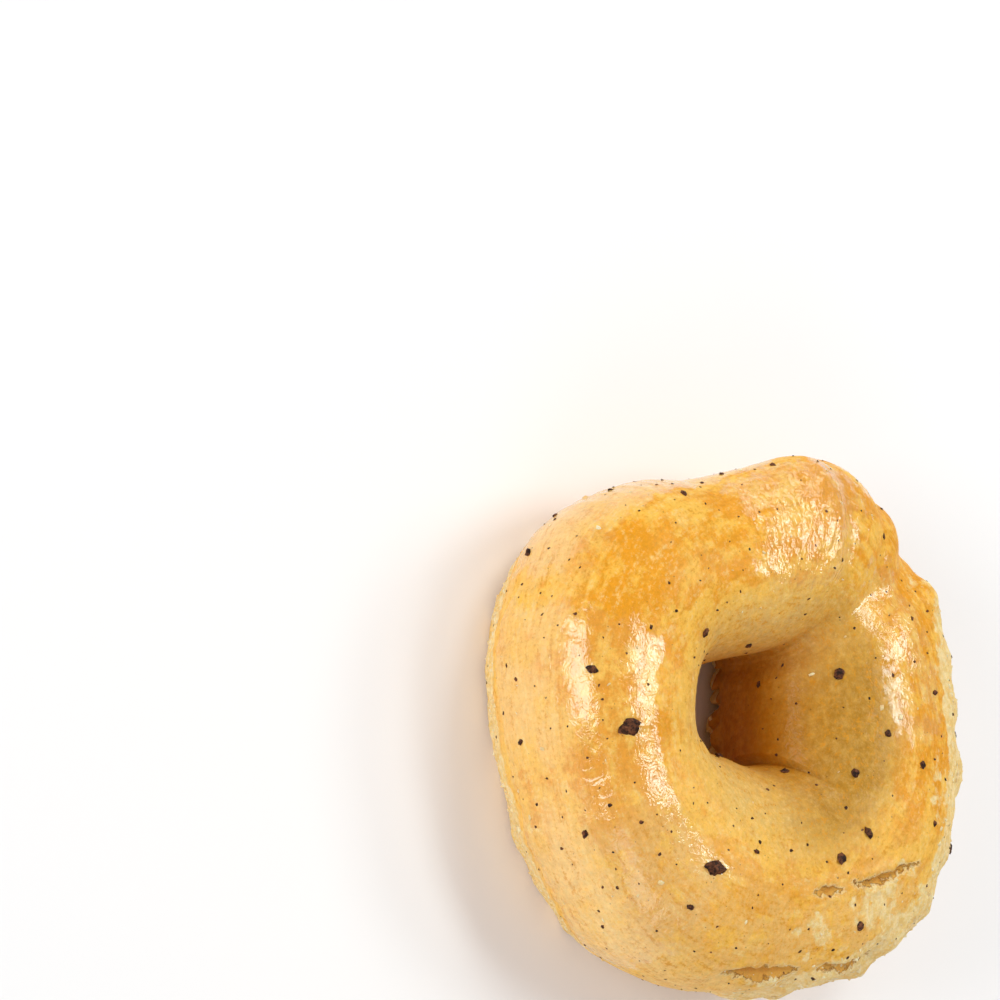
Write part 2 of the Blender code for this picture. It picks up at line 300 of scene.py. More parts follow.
def dough_distance(points, path):
    """About how far each point is outside the dough, negative inside."""
    half = ROPE_SAMPLES // 2
    under = strand_distance(points, path, 0, half + 1)
    over = strand_distance(points, path, half, ROPE_SAMPLES)
    angle = np.degrees(np.arctan2(points[:, 1], points[:, 0]))
    pressed = smooth_step(1.0 - turn_between(angle, LAP_ANGLE) / LAP_REACH)
    dough = smooth_least(under, over, LAP_BLEND * pressed + 1e-6)
    return -smooth_least(-dough, points[:, 2], FOOT_ROUNDING)


def waves(points, length, seed):
    """An even, lumpy field between about -1 and 1: a few waves of one length in seeded directions."""
    rng = np.random.default_rng(seed)
    total = np.zeros(len(points))
    count = 9
    for _ in range(count):
        direction = rng.normal(size=3)
        direction /= np.linalg.norm(direction)
        phase = rng.uniform(0.0, 2.0 * np.pi)
        stretch = rng.uniform(0.75, 1.3)
        total += np.sin(points @ direction * (2.0 * np.pi * stretch / length) + phase)
    return total / np.sqrt(count)


def torn_share(round_angle, section_angle):
    """1 where the side is torn open, 0 where the crust is whole."""
    torn = band(section_angle, TEAR_LOWEST, TEAR_HIGHEST, 25.0)
    return torn * smooth_step(2.0 - 2.0 * turn_between(round_angle, TEAR_ANGLE) / TEAR_REACH)


def relief(points, round_angle, section_angle):
    """How far the crust stands out from the smooth dough."""
    lumps = LUMP_DEPTH * waves(points, LUMP_LENGTH, 1)
    tears = TEAR_DEPTH * torn_share(round_angle, section_angle) * waves(points, TEAR_LENGTH, 2)
    ridge_angle = FOLD_ANGLE + FOLD_SLANT * (90.0 - section_angle)
    past_fold = (round_angle - ridge_angle + 180.0) % 360.0 - 180.0
    fold = FOLD_RISE * smooth_step(1.0 - np.maximum(past_fold / FOLD_SLOPE, -past_fold / FOLD_DROP))
    fold = fold * band(section_angle, FOLD_LOWEST, FOLD_HIGHEST, 35.0)
    from_flake = np.hypot(turn_between(round_angle, FLAKE_ANGLE), 0.5 * (section_angle - FLAKE_SECTION))
    flake = FLAKE_RISE * smooth_step(1.0 - from_flake / FLAKE_REACH)
    low = smooth_step(1.0 - points[:, 2] / FOOT_HEIGHT) * smooth_step(points[:, 2] / 0.5)
    foot = FOOT_FLARE * low * (0.6 + waves(points, TEAR_LENGTH, 3))
    return lumps * smooth_step(points[:, 2] / FOOT_HEIGHT) + tears + fold + flake + foot


def crust_points(round_angle, section_angle, path):
    """The crust's point in each direction from the rope's middle."""
    turn = np.radians(round_angle)
    tilt = np.radians(section_angle)
    from_lap = turn_between(round_angle, LAP_ANGLE)
    start = MIDDLE_RADIUS + MIDDLE_SHIFT * smooth_step(1.0 - from_lap / SHIFT_REACH)

    def at(length):
        distance = start + length * np.cos(tilt)
        height = MIDDLE_HEIGHT + length * np.sin(tilt)
        return np.stack([distance * np.cos(turn), distance * np.sin(turn), height], axis=1)

    length = np.full(len(turn), RAY_START)
    for _ in range(RAY_STEPS):
        length = np.clip(length - RAY_STEP_SHARE * dough_distance(at(length), path), *RAY_LIMITS)
    points = at(length + relief(at(length), round_angle, section_angle))
    points[:, 2] = np.maximum(points[:, 2], 0.0)
    return points


def crust_frame(round_angle, section_angle, path):
    """A point of the crust, the way out of it, and the way round the ring along it."""
    step = 2.0
    turn = np.array([round_angle, round_angle + step, round_angle])
    tilt = np.array([section_angle, section_angle, section_angle + step])
    here, along, up = crust_points(turn % 360.0, tilt, path)
    along = (along - here) / np.linalg.norm(along - here)
    out = np.cross(along, up - here)
    return here, out / np.linalg.norm(out), along


def crack_line(number, start_turn, start_tilt, end_turn, end_tilt, path):
    """Points along one wandering crack."""
    rng = np.random.default_rng(40 + number)
    points = []
    for step in range(CRACK_STEPS + 1):
        share = step / CRACK_STEPS
        turn = start_turn + (end_turn - start_turn) * share + rng.uniform(-0.5, 0.5) * CRACK_WANDER
        tilt = start_tilt + (end_tilt - start_tilt) * share + rng.uniform(-1.0, 1.0) * CRACK_WANDER
        points.append(crust_frame(turn, tilt, path)[0])
    return np.array(points)


def from_line(points, line):
    """Each point's distance from a line of short straights, and how far along it, 0 to 1."""
    least = np.full(len(points), 1e9)
    where = np.zeros(len(points))
    for step in range(len(line) - 1):
        start = line[step]
        run = line[step + 1] - start
        share = np.clip(((points - start) @ run) / (run @ run), 0.0, 1.0)
        gap = np.linalg.norm(points - start - share[:, None] * run, axis=1)
        closer = gap < least
        least = np.where(closer, gap, least)
        where = np.where(closer, (step + share) / (len(line) - 1), where)
    return least, where


class Tree:
    """Short ways to add and join nodes in a shader or geometry tree."""

    def __init__(self, tree):
        self.tree = tree

    def add(self, kind, inputs=(), **settings):
        node = self.tree.nodes.new(kind)
        for name, value in settings.items():
            setattr(node, name, value)
        for key, value in dict(inputs).items():
            self.put(node.inputs[key], value)
        return node

    def put(self, socket, value):
        if isinstance(value, bpy.types.NodeSocket):
            self.tree.links.new(value, socket)
        elif isinstance(value, bpy.types.Node):
            self.tree.links.new(value.outputs[0], socket)
        else:
            socket.default_value = value

    def math(self, operation, first, second=0.0, clamp=False):
        node = self.add("ShaderNodeMath", {0: first, 1: second}, operation=operation, use_clamp=clamp)
        return node.outputs[0]

    def plus(self, first, second):
        return self.math("ADD", first, second)

    def times(self, first, second):
        return self.math("MULTIPLY", first, second)

    def vector(self, operation, first, second=(0.0, 0.0, 0.0)):
        return self.add("ShaderNodeVectorMath", {0: first, 1: second}, operation=operation).outputs[0]

    def scale(self, vector, factor):
        return self.add("ShaderNodeVectorMath", {0: vector, "Scale": factor}, operation="SCALE").outputs[0]

    def noise(self, vector, scale, detail=2.0, roughness=0.5, w=None, distortion=0.0):
        node = self.add("ShaderNodeTexNoise", noise_dimensions="3D" if w is None else "4D")
        inputs = {"Vector": vector, "Scale": scale, "Detail": detail}
        inputs.update({"Roughness": roughness, "Distortion": distortion})
        if w is not None:
            inputs["W"] = w
        for key, value in inputs.items():
            self.put(node.inputs[key], value)
        return node.outputs[0]

    def cells(self, vector, scale):
        """The distance from the nearest of many scattered points."""
        return self.add("ShaderNodeTexVoronoi", {"Vector": vector, "Scale": scale}).outputs["Distance"]

    def share(self, value, lowest, highest, to_low=0.0, to_high=1.0):
        """The value's place between two limits, with level ends."""
        inputs = {"Value": value, "From Min": lowest, "From Max": highest}
        inputs.update({"To Min": to_low, "To Max": to_high})
        return self.add("ShaderNodeMapRange", inputs, interpolation_type="SMOOTHSTEP").outputs[0]

    def blend(self, share, first, second):
        """Two colours mixed by a share."""
        node = self.add("ShaderNodeMix", data_type="RGBA")
        for socket, value in ((node.inputs[0], share), (node.inputs[6], first), (node.inputs[7], second)):
            self.put(socket, value)
        return node.outputs[2]

    def weigh(self, value, middle, factor):
        """How far a value is from its middle, times a factor."""
        return self.times(self.math("SUBTRACT", value, middle), factor)

    def kept(self, name, output="Fac"):
        """What the mesh keeps for each corner under a name, in a material."""
        return self.add("ShaderNodeAttribute", attribute_name=name).outputs[output]

    def along_rope(self, across, along, detail, roughness):
        """Noise drawn out along the rope; across and along are its cells per millimetre."""
        where = self.vector("MULTIPLY", self.kept("rope", "Vector"), (across, across, along))
        turn = self.times(self.kept("rope_turn"), along)
        return self.noise(where, 1.0, detail, roughness, w=turn)

    def carried(self, name, kind="FLOAT"):
        """What the mesh keeps for each corner under a name, in a geometry tree."""
        return self.add("GeometryNodeInputNamedAttribute", {"Name": name}, data_type=kind).outputs[0]

    def millimetres(self):
        """The place in the object, in millimetres."""
        inputs = {"Vector": self.add("ShaderNodeTexCoord").outputs["Object"], "Scale": (1.0 / MM,) * 3}
        return self.add("ShaderNodeMapping", inputs).outputs[0]

    def copies(self, points, lumps, rotation, width):
        """One of the lumps at each point, turned and scaled to its width, as plain geometry."""
        inputs = {"Collection": lumps, "Separate Children": True, "Reset Children": True}
        shapes = self.add("GeometryNodeCollectionInfo", inputs)
        inputs = {"Points": points, "Instance": shapes, "Pick Instance": True}
        inputs.update({"Rotation": rotation, "Scale": width})
        placed = self.add("GeometryNodeInstanceOnPoints", inputs)
        return self.add("GeometryNodeRealizeInstances", {"Geometry": placed})

    def close(self, geometry, given, made):
        """Gives the geometry its material and sends it out of the tree."""
        inputs = {"Geometry": geometry, "Material": given.outputs["Material"]}
        self.put(made.inputs[0], self.add("GeometryNodeSetMaterial", inputs))


def new_material(name):
    """A material, its shader, and its tree."""
    made = bpy.data.materials.new(name)
    made.use_nodes = True
    return made, made.node_tree.nodes["Principled BSDF"], Tree(made.node_tree)


def set_levels(shader, levels):
    """Sets what is the same all over the surface."""
    for name, value in levels.items():
        shader.inputs[name].default_value = value


def new_geometry_tree(name, sizes):
    """A geometry tree with named inputs; gives the tree, its input node and its output node."""
    tree = bpy.data.node_groups.new(name, "GeometryNodeTree")
    tree.interface.new_socket("Geometry", in_out="INPUT", socket_type="NodeSocketGeometry")
    for label, kind, value in sizes:
        socket = tree.interface.new_socket(label, in_out="INPUT", socket_type=kind)
        if value is not None:
            socket.default_value = value
    tree.interface.new_socket("Geometry", in_out="OUTPUT", socket_type="NodeSocketGeometry")
    return tree, tree.nodes.new("NodeGroupInput"), tree.nodes.new("NodeGroupOutput")


def run_tree(obj, tree, values, name):
    """The plain mesh that the tree makes of the object, as a new object with that name."""
    tool = obj.modifiers.new(name, "NODES")
    tool.node_group = tree
    for item in tree.interface.items_tree:
        if item.in_out == "INPUT" and item.name in values:
            tool[item.identifier] = values[item.name]
    bpy.context.view_layer.update()
    graph = bpy.context.evaluated_depsgraph_get()
    mesh = bpy.data.meshes.new_from_object(obj.evaluated_get(graph))
    obj.modifiers.remove(tool)
    mesh.name = name
    made = bpy.data.objects.new(name, mesh)
    bpy.context.scene.collection.objects.link(made)
    return made


def mesh_object(name, points, faces):
    mesh = bpy.data.meshes.new(name)
    mesh.from_pydata([tuple(p) for p in points], [], [tuple(f) for f in faces])
    mesh.update()
    made = bpy.data.objects.new(name, mesh)
    bpy.context.scene.collection.objects.link(made)
    return made


def add_attribute(mesh, name, values):
    """Keeps one number or one vector for each corner of the mesh."""
    values = np.asarray(values, dtype=np.float32)
    if values.ndim == 1:
        mesh.attributes.new(name, "FLOAT", "POINT").data.foreach_set("value", values)
    else:
        mesh.attributes.new(name, "FLOAT_VECTOR", "POINT").data.foreach_set("vector", values.ravel())


def to_frame(points):
    """Millimetres about the ring's axis to metres about the middle of the outline."""
    return (points - (OUTLINE_MIDDLE[0], OUTLINE_MIDDLE[1], 0.0)) * MM


def even_lap(points, turn):
    """Spreads the net's corners evenly where the steep crease of the lap draws them apart."""
    share = 0.6 * smooth_step(1.6 - turn_between(turn, CREASE_ANGLE) / CREASE_REACH)[:, None]
    for _ in range(CREASE_PASSES):
        net = points.reshape(NET_ROUND, NET_SECTION, 3)
        mean = (np.roll(net, 1, 0) + np.roll(net, -1, 0) + np.roll(net, 1, 1) + np.roll(net, -1, 1)) / 4.0
        points = points + share * (mean.reshape(-1, 3) - points)
    return points


def cracks_at(points, path):
    """Each point's distance from the nearest crack's edge, and how far it is sunk; the lips are raised."""
    crack_gap = np.full(len(points), CRACK_NEAR)
    sink = np.zeros(len(points))
    lip = np.zeros(len(points))
    ragged = waves(points, 1.1, 11)
    for number, (t0, s0, t1, s1, width, depth) in enumerate(CRACKS):
        gap, where = from_line(points, crack_line(number, t0, s0, t1, s1, path))
        full = 0.25 + 0.75 * np.sin(np.pi * where)
        half = 0.5 * width * full * (1.0 + 0.35 * ragged)
        sink = np.maximum(sink, depth * full * smooth_step(1.15 - gap / half))
        lip = np.maximum(lip, LIP_RISE * full * band(gap - half, -0.1, 0.9, 0.4))
        crack_gap = np.minimum(crack_gap, gap - half)
    return crack_gap, sink - np.where(sink > 0.0, 0.0, lip)


def teeth_rise(points, turn, tilt):
    """How far the torn foot edge stands into the ring hole, on the side that shows there."""
    low = band(points[:, 2], -0.5, 3.4, 1.4) * smooth_step((np.abs(tilt) - 112.0) / 14.0)
    shown = smooth_step(2.0 - 2.0 * turn_between(turn, TOOTH_ANGLE) / TOOTH_REACH)
    teeth = np.clip(1.5 * np.abs(waves(points, TOOTH_LENGTH, 14)) - 0.6, -0.5, 0.7)
    return TOOTH_DEPTH * low * shown * teeth


def net_faces():
    """The four corners of each face of the net, which closes both round the ring and round the section."""
    i, j = np.meshgrid(np.arange(NET_ROUND), np.arange(NET_SECTION), indexing="ij")
    here = i.ravel() * NET_SECTION
    there = (i.ravel() + 1) % NET_ROUND * NET_SECTION
    j = j.ravel()
    next_j = (j + 1) % NET_SECTION
    return np.stack([here + j, there + j, there + next_j, here + next_j], axis=1)


def make_smooth_crust(path):
    """The crust at the fine net, with its cracks, and what its relief and colour follow."""
    even = np.arange(NET_ROUND) * 360.0 / NET_ROUND
    round_angles = LAP_ANGLE + even - np.degrees(NET_CROWDING * np.sin(np.radians(even)))
    section_angles = np.arange(NET_SECTION) * 360.0 / NET_SECTION - 180.0
    turn, tilt = np.meshgrid(round_angles % 360.0, section_angles, indexing="ij")
    turn = turn.ravel()
    tilt = tilt.ravel()
    parts = [crust_points(t, s, path) for t, s in zip(np.array_split(turn, 24), np.array_split(tilt, 24))]
    points = even_lap(np.concatenate(parts), turn)

    crack_gap, sink = cracks_at(points, path)
    turn_radians = np.radians(turn)
    tilt_radians = np.radians(tilt)
    level = np.cos(tilt_radians)
    plan = (level * np.cos(turn_radians), level * np.sin(turn_radians))
    outward = np.stack([*plan, np.sin(tilt_radians)], axis=1)
    points += outward * (teeth_rise(points, turn, tilt) - sink)[:, None]
    points[:, 2] = np.maximum(points[:, 2], 0.0)

    crust = mesh_object("smooth_crust", to_frame(points), net_faces())
    keep_shares(crust.data, turn, tilt, points[:, 2], crack_gap)
    section = (ROPE_RADIUS * np.cos(tilt_radians), ROPE_RADIUS * np.sin(tilt_radians))
    add_attribute(crust.data, "rope", np.stack([*section, RING_RADIUS * np.cos(turn_radians)], axis=1))
    add_attribute(crust.data, "rope_turn", RING_RADIUS * np.sin(turn_radians))
    crust.data.shade_smooth()
    return crust


def keep_shares(mesh, turn, tilt, height, crack_gap):
    """Keeps with the mesh the shares that the relief, the colour and the scattered pieces follow."""
    spread = smooth_step((FOOT_SHOWN_REACH - turn_between(turn, FOOT_SHOWN_ANGLE)) / 35.0)
    foot_top = FOOT_TOP + FOOT_SHOWN_RISE * spread
    add_attribute(mesh, "foot", smooth_step((foot_top - height) / 1.6))
    pale = smooth_step((PALE_REACH - turn_between(turn, PALE_ANGLE)) / 35.0)
    add_attribute(mesh, "underbaked", pale * band(tilt, -60.0, 110.0, 40.0))
    far = smooth_step(1.5 - turn_between(turn, FAR_ANGLE) / 60.0)
    torn = torn_share(turn, tilt - FLAKED_RISE * far)
    add_attribute(mesh, "torn", torn)
    add_attribute(mesh, "crack_gap", crack_gap)
    add_attribute(mesh, "crown", band(tilt, 15.0, 118.0, 35.0))
    add_attribute(mesh, "side", band(tilt, -60.0, 45.0, 30.0))
    add_attribute(mesh, "dusted", band(tilt, -45.0, 179.0, 20.0))
    pinched = smooth_step(1.3 - turn_between(turn, PINCH_ANGLE) / PINCH_REACH)
    add_attribute(mesh, "pinched", pinched * band(tilt, 25.0, 125.0, 25.0))
    glossy = np.zeros(len(turn))
    for middle, reach, lowest, highest, whole in GLOSS_PATCHES:
        patch = smooth_step((reach - turn_between(turn, middle)) / GLOSS_EDGE)
        patch *= band(tilt, lowest, highest, GLOSS_EDGE)
        glossy = np.maximum(glossy, whole * patch)
    add_attribute(mesh, "glossy", glossy)
    add_attribute(mesh, "rim", band(tilt, 96.0, 179.0, 30.0))
    scuffed = smooth_step(2.0 - 2.0 * turn_between(turn, SCUFF_ANGLE) / SCUFF_REACH)
    add_attribute(mesh, "scuffed", scuffed * band(tilt, 15.0, 90.0, 20.0))
    crumbed = np.maximum(band(height, 0.05, foot_top - 0.6, 0.5), 0.8 * torn)
    add_attribute(mesh, "crumbed", np.maximum(crumbed, 0.5 * smooth_step(1.0 - np.abs(crack_gap) / 0.4)))
    # The hole share is painted shade: darker lower down in the ring hole, most on its far side.
    inner = smooth_step((np.abs(tilt) - 100.0) / 45.0)
    deep = smooth_step((14.5 - height) / 7.0)
    behind = 0.55 + 0.45 * smooth_step(1.5 - turn_between(turn, FAR_ANGLE) / 70.0)
    add_attribute(mesh, "hole", inner * deep * behind)
    # The inner share is where shade is painted on the wall of the hole that faces the camera.
    facing = smooth_step(1.6 - turn_between(turn, WALL_ANGLE) / 60.0)
    add_attribute(mesh, "inner", band(tilt, 90.0, 205.0, 28.0) * facing)


def relief_tree():
    """Fine relief: dimples and wrinkles of the glazed skin, and crumb where the dough is bare."""
    sizes = (
        ("Wrinkle size", "NodeSocketFloat", WRINKLE_SIZE),
        ("Wrinkle depth", "NodeSocketFloat", WRINKLE_DEPTH),
        ("Pinch depth", "NodeSocketFloat", PINCH_DEPTH),
        ("Dimple size", "NodeSocketFloat", DIMPLE_SIZE),
        ("Dimple depth", "NodeSocketFloat", DIMPLE_DEPTH),
        ("Crumb size", "NodeSocketFloat", CRUMB_SIZE),
        ("Crumb depth", "NodeSocketFloat", CRUMB_DEPTH),
        ("Material", "NodeSocketMaterial", None),
    )
    tree, given, made = new_geometry_tree("crust_relief", sizes)
    t = Tree(tree)
    place = t.scale(t.add("GeometryNodeInputPosition").outputs[0], 1.0 / MM)

    def per(size, factor=1.0):
        return t.math("DIVIDE", factor, given.outputs[size])

    foot, torn, pinched, scuffed = (t.carried(name) for name in ("foot", "torn", "pinched", "scuffed"))
    cracked = t.share(t.carried("crack_gap"), 0.25, -0.05)
    bare = t.math("MAXIMUM", t.math("MAXIMUM", foot, torn), t.times(cracked, 0.6))
    bare = t.math("MAXIMUM", bare, t.times(scuffed, 0.45))
    skin = t.math("SUBTRACT", 1.0, bare, clamp=True)
    wrinkle = t.math("SUBTRACT", t.noise(place, per("Wrinkle size"), 3.0, 0.55, distortion=0.6), 0.5)
    wrinkle = t.times(t.math("ABSOLUTE", wrinkle), -4.0)
    patches = t.share(t.noise(place, 0.22, 1.0), 0.42, 0.62, 0.35, 1.0)
    patches = t.plus(patches, t.times(pinched, 1.2))
    wrinkle = t.times(t.times(wrinkle, patches), given.outputs["Wrinkle depth"])
    drawn = t.vector("MULTIPLY", t.carried("rope", "FLOAT_VECTOR"), (0.5, 0.5, 1.5))
    creases = t.noise(drawn, 1.0, 2.0, 0.55, w=t.times(t.carried("rope_turn"), 1.5))
    pinch_depth = t.times(pinched, given.outputs["Pinch depth"])
    creases = t.times(t.math("SUBTRACT", creases, 0.5), pinch_depth)
    wrinkle = t.plus(wrinkle, creases)
    dimple = t.math("SUBTRACT", t.noise(place, per("Dimple size"), 2.0, 0.5), 0.5)
    dimple = t.times(dimple, t.times(given.outputs["Dimple depth"], 2.0))
    crumb = t.math("SUBTRACT", t.noise(place, per("Crumb size"), 3.0, 0.65), 0.5)
    pits = t.share(t.cells(place, per("Crumb size", 1.1)), 0.0, 0.5, -0.5, 0.15)
    crumb = t.plus(t.times(crumb, 2.2), pits)
    crumb = t.times(t.times(crumb, bare), given.outputs["Crumb depth"])
    shape = t.plus(t.times(t.plus(wrinkle, dimple), skin), crumb)
    above = t.add("ShaderNodeSeparateXYZ", {0: place}).outputs[2]
    shape = t.times(shape, t.share(above, 0.02, 0.6))
    offset = t.scale(t.add("GeometryNodeInputNormal").outputs[0], t.times(shape, MM))
    moved = t.add("GeometryNodeSetPosition", {"Geometry": given.outputs["Geometry"], "Offset": offset})
    whole = t.add("GeometryNodeRealizeInstances", {"Geometry": moved})
    t.close(whole, given, made)
    return tree


def crust_patterns(t, place):
    """The noises that the colour, the bare crumb and the relief have in common."""
    broad = t.noise(place, 0.14, 2.0, 0.5)
    blotch = t.noise(place, 0.50, 4.0, 0.65, distortion=0.5)
    mottle = t.noise(place, 1.5, 5.0, 0.75)
    fibres = t.along_rope(3.4, 0.75, 3.0, 0.65)
    return broad, blotch, mottle, fibres


def skin_colour(t, place, patterns):
    """The baked skin: amber on golden, paler in places, with fibres along the rope, and painted shade on
    the wall of the hole and deep in it.
    """
    golden = (0.92, 0.475, 0.070, 1.0)
    amber = (0.81, 0.305, 0.012, 1.0)
    straw = (0.90, 0.54, 0.165, 1.0)
    tan = (0.91, 0.51, 0.18, 1.0)
    pale_gold = (0.89, 0.56, 0.20, 1.0)
    dull_gold = (0.74, 0.445, 0.145, 1.0)
    painted_wall_shade = (0.43, 0.185, 0.012, 1.0)
    pale_fibre = (0.94, 0.64, 0.25, 1.0)
    dark_fibre = (0.70, 0.27, 0.012, 1.0)
    painted_hole_shade = (0.50, 0.155, 0.003, 1.0)
    brown = (0.16, 0.060, 0.012, 1.0)
    broad, blotch, mottle, fibres = patterns
    side = t.kept("side")

    browned = t.plus(t.weigh(broad, 0.5, 1.0), t.weigh(blotch, 0.5, 1.7))
    browned = t.plus(browned, t.weigh(t.along_rope(1.1, 0.28, 3.0, 0.6), 0.5, 1.2))
    browned = t.plus(browned, t.weigh(mottle, 0.5, 1.2))
    browned = t.plus(browned, t.weigh(t.kept("crown"), 0.5, 0.42))
    colour = t.blend(t.share(browned, -0.14, 0.36), golden, amber)

    paled = t.plus(t.weigh(t.noise(place, 0.33, 3.0, 0.6), 0.5, 1.4), t.weigh(fibres, 0.5, 1.1))
    paled = t.plus(paled, t.weigh(mottle, 0.5, -0.7))
    paled = t.plus(paled, t.weigh(side, 0.6, 0.22))
    colour = t.blend(t.share(paled, 0.0, 0.50, 0.0, 0.85), colour, straw)
    low = t.times(side, t.share(t.noise(place, 0.22, 2.0, 0.5), 0.40, 0.62))
    colour = t.blend(t.times(low, 0.55), colour, tan)

    patchy = t.share(t.plus(blotch, t.weigh(mottle, 0.5, 0.8)), 0.30, 0.60, 0.05, 0.60)
    colour = t.blend(t.times(t.kept("underbaked"), patchy), colour, pale_gold)
    flecks = t.share(t.noise(place, 3.3, 3.0, 0.6), 0.60, 0.72, 0.0, 0.5)
    colour = t.blend(flecks, colour, amber)
    patchy = t.share(t.plus(blotch, t.weigh(mottle, 0.5, 0.6)), 0.3, 0.7, 0.35, 0.90)
    colour = t.blend(t.times(t.kept("rim"), patchy), colour, dull_gold)
    # Painted shade: the wall of the hole that faces the camera is darkened, with fewer pale fibres on it.
    inner = t.kept("inner")
    colour = t.blend(t.times(inner, t.share(mottle, 0.3, 0.7, 0.6, 1.0)), colour, painted_wall_shade)

    fine = t.noise(place, 3.6, 3.0, 0.7)
    drawn = t.plus(fine, t.weigh(t.along_rope(2.0, 0.55, 4.0, 0.75), 0.5, 1.2))
    pale = t.times(t.share(drawn, 0.52, 0.84, 0.0, 0.55), t.share(inner, 0.0, 1.0, 1.0, 0.25))
    colour = t.blend(pale, colour, pale_fibre)
    colour = t.blend(t.share(drawn, 0.48, 0.22, 0.0, 0.75), colour, dark_fibre)
    # Painted shade: dark brown deep in the ring hole, where the hole share is high.
    shaded = t.times(t.kept("hole"), t.share(mottle, 0.3, 0.7, 0.65, 1.0))
    colour = t.blend(shaded, colour, painted_hole_shade)
    specks = t.share(t.cells(place, 1.9), 0.13, 0.08)
    specks = t.times(specks, t.share(t.noise(place, 0.9, 1.0), 0.56, 0.62))
    return t.blend(t.times(specks, 0.6), colour, brown)


def bare_share(t, place, broad):
    """1 where crumb shows: on the foot, in the tears and, in patches, where the crust is scuffed."""
    ragged = t.plus(t.weigh(t.noise(place, 0.8, 4.0, 0.55), 0.5, 1.3), t.weigh(broad, 0.5, 1.3))
    scuffed = t.times(t.kept("scuffed"), 0.48)
    bare = t.math("MAXIMUM", t.kept("foot"), t.math("MAXIMUM", t.kept("torn"), scuffed))
    return t.share(t.plus(bare, ragged), 0.40, 0.56)


def crack_shares(t, place, mottle):
    """1 on the pale lip beside a crack, on its dark brink and inside it."""
    edge = t.plus(t.kept("crack_gap"), t.weigh(t.noise(place, 2.0, 4.0, 0.7), 0.5, 1.1))
    lip = t.share(edge, 0.26, 0.10)
    brink = t.share(t.math("ABSOLUTE", t.plus(edge, 0.02)), 0.11, 0.04)
    brink = t.times(brink, t.share(mottle, 0.40, 0.60, 0.2, 0.75))
    inside = t.share(edge, 0.05, -0.08)
    return lip, brink, inside


def crust_colour(t, place, patterns, bare, cracks):
    """The skin, with pale crumb where it is bare, the cracks, and a fine grain over all."""
    cream = (0.98, 0.74, 0.40, 1.0)
    baked_crumb = (0.88, 0.54, 0.17, 1.0)
    crack_gold = (0.74, 0.34, 0.045, 1.0)
    crack_brown = (0.36, 0.125, 0.012, 1.0)
    lip, brink, inside = cracks
    crumb = t.blend(t.share(patterns[2], 0.35, 0.65), cream, baked_crumb)
    colour = t.blend(t.times(bare, 0.9), skin_colour(t, place, patterns), crumb)
    colour = t.blend(t.times(lip, 0.5), colour, cream)
    colour = t.blend(t.times(inside, 0.85), colour, crack_gold)
    colour = t.blend(brink, colour, crack_brown)
    return t.scale(colour, t.share(t.noise(place, 2.1, 4.0, 0.75), 0.30, 0.70, 0.90, 1.06))


def glaze_share(t, place, gloss):
    """How much of the thin glossy glaze there is: whole in the glossy patches, ragged at their edges."""
    glazed = t.math("MAXIMUM", t.kept("glossy"), t.times(t.kept("pinched"), 0.85))
    glazed = t.plus(glazed, t.weigh(t.noise(place, 0.60, 5.0, 0.65), 0.5, 1.9))
    return t.times(gloss, t.share(glazed, 0.42, 0.62, 0.08, 1.0))


def crust_rise(t, place, fibres, bare, cracks):
    """The height of the finest relief, in millimetres."""
    lip, _, inside = cracks
    crinkle = t.math("ABSOLUTE", t.weigh(t.noise(place, 0.95, 3.0, 0.55, distortion=1.2), 0.5, 1.0))
    crinkle = t.times(crinkle, -0.09)
    creases = t.math("ABSOLUTE", t.weigh(t.along_rope(0.65, 1.15, 2.0, 0.5), 0.5, 1.0))
    creases = t.times(creases, t.times(t.kept("pinched"), -0.50))
    rise = t.plus(crinkle, creases)
    rise = t.plus(rise, t.weigh(t.noise(place, 2.6, 2.0, 0.5), 0.5, 0.018))
    rise = t.plus(rise, t.weigh(fibres, 0.5, 0.016))
    crumb = t.weigh(t.noise(place, 3.0, 4.0, 0.75), 0.5, 0.12)
    rise = t.plus(rise, t.times(t.math("SUBTRACT", crumb, 0.02), bare))
    rise = t.plus(rise, t.times(inside, -0.05))
    return t.plus(rise, t.times(lip, 0.03))


def crust_material():
    """Glazed golden crust with amber mottling and fibres, and pale crumb on the foot, tears and cracks."""
    made, shader, t = new_material("baked_crust")
    place = t.millimetres()
    patterns = crust_patterns(t, place)
    broad, _, mottle, fibres = patterns
    bare = bare_share(t, place, broad)
    cracks = crack_shares(t, place, mottle)
    gloss = t.math("SUBTRACT", 1.0, t.math("MAXIMUM", bare, cracks[0]), clamp=True)
    t.put(shader.inputs["Base Color"], crust_colour(t, place, patterns, bare, cracks))
    t.put(shader.inputs["Coat Weight"], glaze_share(t, place, gloss))
    t.put(shader.inputs["Roughness"], t.share(gloss, 0.0, 1.0, 0.85, 0.6))
    set_levels(shader, {"Coat Roughness": 0.06, "Coat IOR": 1.72, "Specular IOR Level": 0.1})
    set_levels(shader, {"Subsurface Weight": 0.12, "Subsurface Radius": (1.0, 0.45, 0.15)})
    set_levels(shader, {"Subsurface Scale": 1.0 * MM})
    rise = crust_rise(t, place, fibres, bare, cracks)
    bump = t.add("ShaderNodeBump", {"Height": rise, "Strength": 1.0, "Distance": MM})
    t.put(shader.inputs["Normal"], bump.outputs[0])
    t.put(shader.inputs["Coat Normal"], bump.outputs[0])
    return made


